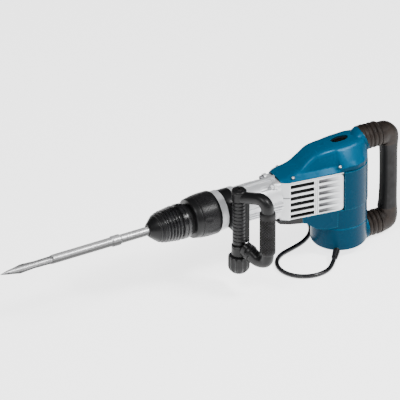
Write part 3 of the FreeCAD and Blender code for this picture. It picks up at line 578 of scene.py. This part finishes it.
def make_side_sleeve():
    """The grip's rubber sleeve with a crossed knurl."""
    low, high, radius, count = 92, 186, 16, 132
    outer = [(low, 12.6), (low, 14), (low + 1, 15.2), (low + 3, 15.9), (low + 5, radius)]
    for i in range(count + 1):
        outer.append((low + 5 + (high - low - 10) * i / count, radius))
    outer += [(high - 3, 15.9), (high - 1, 15.2), (high, 14), (high, 12.6)]
    starts, lead, depth, width = 8, 0.5, 0.1, 0.62

    def knurl(station, angle):
        """Two crossing families of grooves."""
        if not low + 7 < station < high - 12:
            return 1
        first = angle * starts + station * lead
        second = angle * starts - station * lead
        height = min(abs(math.sin(first)), abs(math.sin(second)))
        return 1 - depth * max(0, width - height) / width

    place = COLUMN + SIDE_TURN @ Vector((REACH, 0, 0))
    lathe("side_sleeve", outer, place, (0, 0, 1), GRIP, "side_grip",
          ("side_grip_sleeve",), 196, knurl)


def make_side_cap():
    """The round, dished cap on the column."""
    low, high = node_span("side_grip_cap")
    cap = [(low.z, 3), (low.z, 14.8), (low.z + 0.7, 15.4), (low.z + 4.6, 15.4), (low.z + 6.6, 14.6),
           (low.z + 8.4, 12.4), (low.z + 8.6, 10.6), (low.z + 8, 10), (low.z + 8, 6.4), (low.z + 8.7, 5.8),
           (high.z - 0.2, 5.2), (high.z - 0.2, 3)]
    lathe("side_cap", cap, COLUMN, (0, 0, 1), BLACK, "side_grip", ("side_grip_cap",), 96)


def make_nut():
    """The clamp nut, six-lobed on its flank and round at its lower end."""
    low, high = node_span("clamp_nut")
    bottom, top = low.z, high.z
    r = (high.x - low.x) / 2
    profile = [(bottom, 4), (bottom, 10), (bottom + 1.2, 13.4), (bottom + 3.6, 16.8), (bottom + 6, 18.8),
               (bottom + 9, r - 1.9), (bottom + 12, r - 0.8), (bottom + 16, r - 0.1), (top - 9, r - 0.1),
               (top - 4, r - 0.8), (top - 1.6, r - 2.2), (top - 0.3, r - 5), (top - 0.3, 4)]

    def lobes(station, angle):
        depth = 0.13 * min(1, max(0, (station - bottom - 1) / 9)) * min(1, max(0, (top - station) / 4))
        return 1 - depth * (0.5 - 0.5 * math.cos(angle * 12)) ** 0.8

    fine = []
    for (a, p), (b, q) in zip(profile, profile[1:]):
        fine += [(a + (b - a) * k / 3, p + (q - p) * k / 3) for k in range(3)]
    fine.append(profile[-1])
    lathe("lobed_nut", fine, COLUMN, (0, 0, 1), BLACK, "clamp_nut", ("clamp_nut",),
          192, lobes)


def make_column():
    """A ribbed skin round the clamp column."""
    low, high, pitch = 90.3, 189.2, 8
    outer = [(low, 4.5), (low, 11.6), (low + 1, 12.4)]
    at = low + 4
    while at < high - 6:
        outer += [(at, 11), (at + 1.2, 11.1), (at + 2, 12.5), (at + 3, 13), (at + 5, 13), (at + 6, 12.5),
                  (at + 6.8, 11.1)]
        at += pitch
    outer += [(high - 1, 12.4), (high, 11.6), (high, 4.5)]
    lathe("clamp_ribs", outer, COLUMN, (0, 0, 1), BLACK, "clamp", (), 72)


# ------------------------------------------------------------------ top cover

def rounded(corners, radii):
    """Softens the corners of an open line with quadratic arcs, always with the same point count."""
    steps = 5
    points = [Vector(corners[0])]
    for before, corner, after, radius in zip(corners, corners[1:], corners[2:], radii):
        before, corner, after = Vector(before), Vector(corner), Vector(after)
        first = corner + (before - corner).normalized() * min(radius, (before - corner).length * 0.45)
        last = corner + (after - corner).normalized() * min(radius, (after - corner).length * 0.45)
        for i in range(steps + 1):
            t = i / steps
            points.append(first * (1 - t) ** 2 + corner * 2 * t * (1 - t) + last * t * t)
    points.append(Vector(corners[-1]))
    return points


# The cover's sections in mm, each x, half width, ledge foot z, ledge top half, ledge top z, top half, top z
COVER = [(-146.6, 23.6, 179.8, 20, 182.6, 15.5, 184.2), (-141, 28, 180, 22, 184, 17.6, 185.6),
         (-131, 33, 180.2, 24.6, 185.6, 19.6, 187.2), (-118, 35.2, 180.4, 26, 187.4, 21, 190.4),
         (-104, 37.4, 180.5, 27.6, 188, 22.2, 195), (-97, 38.6, 180.6, 28.6, 188.4, 22.6, 198.6),
         (-87, 40.2, 180.7, 30, 188.7, 23, 206.4), (-76, 42, 180.8, 31.6, 189, 23.4, 214),
         (-66, 43.6, 180.9, 33, 189.4, 24.2, 219.6), (-57, 44.8, 181, 34.2, 189.7, 25, 221.6),
         (-44, 46.6, 181, 36, 190, 25.2, 223), (-33, 48.2, 181.2, 38, 190.2, 25.2, 223.4),
         (-26, 49.4, 182, 41, 191, 25.3, 223.8), (-21, 50.8, 187, 44.2, 195.4, 25.3, 224),
         (-14, 52.4, 189, 45.6, 197.4, 25.3, 224.3), (-4, 53.4, 189.4, 46.8, 197.8, 25.3, 224.8),
         (10, 54.2, 189.4, 46.6, 197.6, 25.3, 225.2), (22, 50.6, 189.2, 44, 197.2, 25.3, 225.8),
         (30, 47.6, 189, 41.4, 197, 25.2, 225.4), (38, 41, 188.8, 36, 196.8, 23.4, 225.6),
         (45, 34.6, 188.4, 31, 196.4, 21.6, 225.5), (51, 25.4, 188, 24, 196, 17.6, 224.4),
         (54.4, 18.4, 187.6, 17.8, 195.6, 13.8, 223.2)]
SWITCH_OVAL = (18.8, 9.5)        # half axes of the switch's rim, mm


def make_cover_shell():
    """The cover lofted through its sections."""
    low, _ = node_span("top_cover")
    base = low.z + 0.3
    rings = []
    total = 150
    for i in range(total + 1):
        x, half, foot, shelf, shelf_z, flat, top = catmull(COVER, i / total * (len(COVER) - 1))
        side = rounded([(0, top + 0.5), (flat, top), (shelf, shelf_z), (half, foot), (half, base)],
                       (11, 2.2, 1.2))
        ring = [Vector((x, -p.x, p.y)) for p in side]
        ring += [Vector((x, p.x, p.y)) for p in reversed(side[1:])]
        rings.append(ring)
    verts, faces = rings_to_mesh(rings)
    return piece("cover_shell", verts, faces, BLUE, "housing", ("top_cover",))


def make_cover_socket():
    """The cover's round socket for the upper bellows, blue only in front of a slanting line."""
    low, high = node_span("bellows_upper")
    height, radius = (low.z + high.z) / 2, (high.z - low.z) / 2 + 0.6
    # x, height over the bellows' axis, radius
    bulge = [(20, -16, 20), (27, -10.4, 22.6), (34, -5.4, 24.2), (38, -3.2, 24.9), (41, -1.8, 25.4),
             (43.6, -0.9, 25.7), (44.6, -0.6, 26.1), (47, -0.3, radius - 0.5), (49, -0.2, radius - 0.4),
             (50, -0.2, radius - 1.2), (51, -0.1, radius - 0.3), (54.6, 0, radius - 0.2), (56.8, 0, radius),
             (57.8, 0, radius - 0.9), (57.8, 0, radius - 5), (56, 0, radius - 6)]
    steps = 96
    rings = [[Vector((x, reach * math.sin(turn), height + rise + reach * math.cos(turn)))
              for turn in (2 * math.pi * j / steps for j in range(steps))] for x, rise, reach in bulge]
    verts, faces = rings_to_mesh(rings)
    socket = clean(piece("cover_socket", verts, faces, BLUE, "housing"))
    socket.data.materials.append(HANDLE)
    for face in socket.data.polygons:
        x, z = face.center.x / MM, face.center.z / MM
        if x > 52.5 - (z - height) * 0.385:
            face.material_index = 1


def make_switch_hole(cover):
    """The oval hole in the cover and the dark rim that lines it."""
    a, b = SWITCH_OVAL
    cutter = elliptic("cutter", [(214.4, 0.001), (214.4, 1), (240, 1.04), (240, 0.001)], a + 0.2, b + 0.2)
    cut_out(cover, cutter)
    clean(cover)
    rim = elliptic("switch_rim", [(214.8, 0.3), (214.8, 1), (221.4, 1), (222.2, 0.96), (222.2, 0.91),
                                  (221.2, 0.87), (215.6, 0.86), (215.5, 0.3)], a, b)
    paint(rim, BLACK)
    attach(rim, "housing")
    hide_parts("switch_bezel")


def elliptic(name, profile, a, b):
    """A ring of (height, share of the ellipse) points about the motor axis."""
    count = 64
    rings = []
    for height, share in profile:
        rings.append([Vector((a * share * math.cos(2 * math.pi * j / count),
                              b * share * math.sin(2 * math.pi * j / count), height)) for j in range(count)])
    rings.append(rings[0])
    verts, faces = rings_to_mesh(rings, False)
    mesh = bpy.data.meshes.new(name)
    mesh.from_pydata([v * MM for v in verts], [], faces)
    for face in mesh.polygons:
        face.use_smooth = True
    thing = bpy.data.objects.new(name, mesh)
    bpy.context.scene.collection.objects.link(thing)
    return clean(thing)


def cut_out(thing, cutter):
    """Cuts one mesh out of another and drops the tool."""
    modifier = thing.modifiers.new("cut", "BOOLEAN")
    modifier.operation = "DIFFERENCE"
    modifier.object = cutter
    modifier.solver = "EXACT"
    depsgraph = bpy.context.evaluated_depsgraph_get()
    mesh = bpy.data.meshes.new_from_object(thing.evaluated_get(depsgraph))
    thing.modifiers.remove(modifier)
    thing.data = mesh
    bpy.data.objects.remove(cutter)


def make_screws():
    """A pair of cover screws at each end of the ledge. The far front one sits lower, on the ledge's flank."""
    head = [(-3.5, 0.9), (-3.5, 2.4), (-0.4, 3.4), (0.4, 3.4), (1.1, 2.9), (1.4, 1.9), (0.2, 1.6), (0.2, 0.9)]
    # x, y, height, lean from level in degrees
    places = [(-122, -30.2, 186.8, 42), (-24.5, -46.8, 191.6, 42), (-122, 33.6, 180.6, 18),
              (-24.5, 46.8, 191.6, 42)]
    for place in places:
        x, y, z, lean = place
        out = Vector((0, math.copysign(math.cos(math.radians(lean)), y), math.sin(math.radians(lean))))
        lathe("cover_screw", head, (x, y, z), out, BRIGHT, "housing",
              ("cover_screws",) if place == places[0] else (), 36)


def make_neck_fins():
    """Cooling fins along the neck's near and far flanks, which widen towards the case."""
    for side in (-1, 1):
        for degrees in (-6, -18, -30, -42, -54):
            angle = math.radians(degrees)
            out = Vector((0, side * math.cos(angle), math.sin(angle)))
            across = Vector((0, -side * math.sin(angle), math.cos(angle)))
            rings = []
            for x, reach, half in ((-232, 36.2, 0.4), (-228, 37.8, 0.9), (-196, 38.3, 1.1), (-176, 38.8, 1.2),
                                   (-164, 40.4, 1.3), (-148, 40.8 if degrees > -40 else 39, 1.4)):
                middle = Vector((x, 0, AXIS))
                root, tip = middle + out * 33, middle + out * reach
                crest = tip + out * 0.3
                rings.append([root - across * half * 1.6, tip - across * half, crest - across * half * 0.5,
                              crest + across * half * 0.5, tip + across * half, root + across * half * 1.6])
            verts, faces = rings_to_mesh(rings)
            clean(piece("neck_fin", verts, faces, SILVER, "housing"))


def make_case_seam():
    """The dark, slightly raised parting line on both flanks of the case's nose."""
    for side in (-1, 1):
        rings = [[(x, side * y, 143), (x, side * (y + 0.5), 143.4), (x, side * (y + 0.5), 145),
                  (x, side * y, 145.4), (x, side * (y - 2), 144.2)]
                 for x, y in ((-146.9, 24.3), (-131, 33.9))]
        verts, faces = rings_to_mesh(rings)
        clean(piece("case_seam", verts, faces, DARK_STEEL, "housing"))


def soften():
    """Small real chamfers on the CAD pieces that stay visible, widths in millimetres."""
    widths = {"gear_housing": 1.6, "neck_housing": 1.6, "front_ring": 1.0, "grille_left": 0.5,
              "grille_right": 0.5, "motor_end_cap": 1.0, "motor_housing": 0.8, "motor_fairing": 2.0,
              "lower_guard": 1.2, "clamp_column": 1.2, "clamp_band": 1.2, "power_switch": 0.8,
              "chisel": 0.5, "plug_body": 1.0, "cord_relief": 0.4}
    for name, width in widths.items():
        thing = frame["nodes"][name]
        bevel = thing.modifiers.new("edge", "BEVEL")
        bevel.width = width * MM
        bevel.segments = 3
        bevel.limit_method = "ANGLE"
        bevel.angle_limit = math.radians(40)
        bevel.harden_normals = True


# ------------------------------------------------------------------ cord

CORD_DIAMETER = 9.4
CORD_LEVEL = -16 + CORD_DIAMETER / 2      # the cord's middle where it lies on the floor
CORD_RUN = [(-45, -60, -5), (-58, -73.6, CORD_LEVEL), (-80, -87.4, CORD_LEVEL),
            (-110, -89.5, CORD_LEVEL), (-140.2, -74, CORD_LEVEL), (-155.6, -43.8, CORD_LEVEL),
            (-150.3, -10.2, CORD_LEVEL), (-126.3, 13.8, CORD_LEVEL), (-92.5, 23.1, CORD_LEVEL),
            (-59, 34, CORD_LEVEL), (-29, 58, CORD_LEVEL), (-13, 90, CORD_LEVEL),
            (-13, 120, CORD_LEVEL), (-19, 147, CORD_LEVEL)]
CORD_TAIL = [(30, 204.6, CORD_LEVEL), (50, 205.4, CORD_LEVEL), (69, 209, -8.5), (87, 215.5, -2.5),
             (104, 224, 2), (121, 233, 3)]
COIL_CENTRE = (30, 145)
COIL_TURNS = (50.2, 59.6)                 # radii of the inner and outer columns of turns
COIL_LAYERS = 5


def coil_points():
    """Turns of the put-away coil: up the inner column, then down the outer one to the tail's first point."""
    points = []
    steps = 14
    start, end = math.radians(160), math.radians(90)
    turns = COIL_LAYERS * 2
    total = start - end + 2 * math.pi * (turns - 1)
    count = int(total / (2 * math.pi) * steps)
    for i in range(count + 1):
        part = i / count
        angle = start - total * part
        along = part * (turns - 1)
        if along <= COIL_LAYERS - 1:
            radius, level = COIL_TURNS[0], along
        elif along <= COIL_LAYERS:
            radius = COIL_TURNS[0] + (COIL_TURNS[1] - COIL_TURNS[0]) * (along - COIL_LAYERS + 1)
            level = COIL_LAYERS - 1
        else:
            radius, level = COIL_TURNS[1], 2 * COIL_LAYERS - 1 - along
        points.append((COIL_CENTRE[0] + radius * math.cos(angle),
                       COIL_CENTRE[1] + radius * math.sin(angle),
                       CORD_LEVEL + CORD_DIAMETER * level))
    return points


def make_cord():
    """The whole cord on one spline: the run behind the tool, the coil and the tail to the plug."""
    points = CORD_RUN + coil_points() + CORD_TAIL[1:]
    curve = bpy.data.curves.new("cord", "CURVE")
    curve.dimensions = "3D"
    spline = curve.splines.new("NURBS")
    spline.points.add(len(points) - 1)
    for target, point in zip(spline.points, points):
        target.co = (*(Vector(point) * MM), 1)
    spline.order_u = 3
    spline.use_endpoint_u = True
    curve.resolution_u = 6
    curve.bevel_depth = CORD_DIAMETER / 2 * MM
    curve.bevel_resolution = 6
    curve.use_fill_caps = True
    cord = bpy.data.objects.new("cord", curve)
    bpy.context.scene.collection.objects.link(cord)
    curve.materials.append(RUBBER)
    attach(cord, "housing")
    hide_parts("cord_tube", "cord_coil", "cord_tail")


# ------------------------------------------------------------------ camera and light

FLOOR_LEVEL = -0.0162            # just under the cord, m
VIEW_WIDTH = 0.784               # width of the view at the object, m


def aim(thing, place, back, right=None):
    """Puts a camera or light at a place, with its back towards a direction."""
    back = Vector(back).normalized()
    right = Vector(right or Vector((0, 0, 1)).cross(back)).normalized()
    up = back.cross(right)
    thing.matrix_world = Matrix((right, up, back)).transposed().to_4x4()
    thing.location = Vector(place)


def make_camera():
    """A long lens from far off, so that the view has almost no perspective."""
    data = bpy.data.cameras.new("camera")
    camera = bpy.data.objects.new("camera", data)
    bpy.context.scene.collection.objects.link(camera)
    azimuth, elevation = math.radians(-30), math.radians(31)
    back = Vector((math.sin(azimuth) * math.cos(elevation),
                   -math.cos(azimuth) * math.cos(elevation), math.sin(elevation)))
    distance = 30.0
    centre = Vector((-0.316, 0.0, 0.179))
    right = Vector((math.cos(azimuth), math.sin(azimuth), 0))
    aim(camera, centre + back * distance, back, right)
    data.sensor_width = 36
    data.lens = data.sensor_width * distance / VIEW_WIDTH
    data.clip_end = 100
    bpy.context.scene.camera = camera


def area_light(name, place, target, size, power):
    data = bpy.data.lights.new(name, "AREA")
    data.shape = "RECTANGLE"
    data.size, data.size_y = size
    data.energy = power
    light = bpy.data.objects.new(name, data)
    bpy.context.scene.collection.objects.link(light)
    aim(light, place, Vector(place) - Vector(target))


def make_sky():
    """A soft sky, brightest up and to the front left."""
    world = bpy.data.worlds.new("studio")
    bpy.context.scene.world = world
    world.use_nodes = True
    tree = world.node_tree
    coords = tree.nodes.new("ShaderNodeTexCoord")
    facing = tree.nodes.new("ShaderNodeVectorMath")
    facing.operation = "DOT_PRODUCT"
    facing.inputs[1].default_value = Vector((-0.45, -0.35, 0.82)).normalized()
    fall = tree.nodes.new("ShaderNodeMapRange")
    for key, value in {"From Min": -0.2, "From Max": 1.0, "To Min": 0.12, "To Max": 1.6}.items():
        fall.inputs[key].default_value = value
    tree.links.new(coords.outputs["Generated"], facing.inputs[0])
    tree.links.new(facing.outputs["Value"], fall.inputs["Value"])
    tree.links.new(fall.outputs["Result"], tree.nodes["Background"].inputs["Strength"])


def make_lights():
    middle = (-0.3, 0, 0.12)
    area_light("key", (-1.5, -0.9, 2.2), middle, (1.0, 0.7), 44)
    area_light("ledges", (0.7, -1.15, 1.8), middle, (0.45, 0.45), 46)
    area_light("side", (1.6, -1.9, 0.6), middle, (0.5, 1.2), 8)


def make_floor():
    """A pale floor that glows a little, so that it stays near white."""
    half = 6.0
    mesh = bpy.data.meshes.new("floor")
    mesh.from_pydata([(x * half, y * half, FLOOR_LEVEL) for x, y in ((-1, -1), (1, -1), (1, 1), (-1, 1))],
                     [], [(0, 1, 2, 3)])
    floor = bpy.data.objects.new("floor", mesh)
    bpy.context.scene.collection.objects.link(floor)
    n = Nodes("floor_white")
    n.set(Base_Color=mix(n, n.noise(2, 2), (0.93, 0.93, 0.93, 1), (0.96, 0.96, 0.96, 1)), Roughness=0.8,
          Emission_Color=(1, 1, 1, 1), Emission_Strength=2.6)
    paint(floor, n.material)


paint_nodes()
soften()
make_rear_handle()
make_bellows()
make_float_springs()
make_nose_cap()
make_locking_sleeve()
make_adjusting_ring()
make_side_bow()
make_side_hubs()
make_side_sleeve()
make_side_cap()
make_nut()
make_column()
cover_shell = make_cover_shell()
make_cover_socket()
make_switch_hole(cover_shell)
make_screws()
make_neck_fins()
make_case_seam()
make_cord()
make_camera()
make_sky()
make_lights()
make_floor()
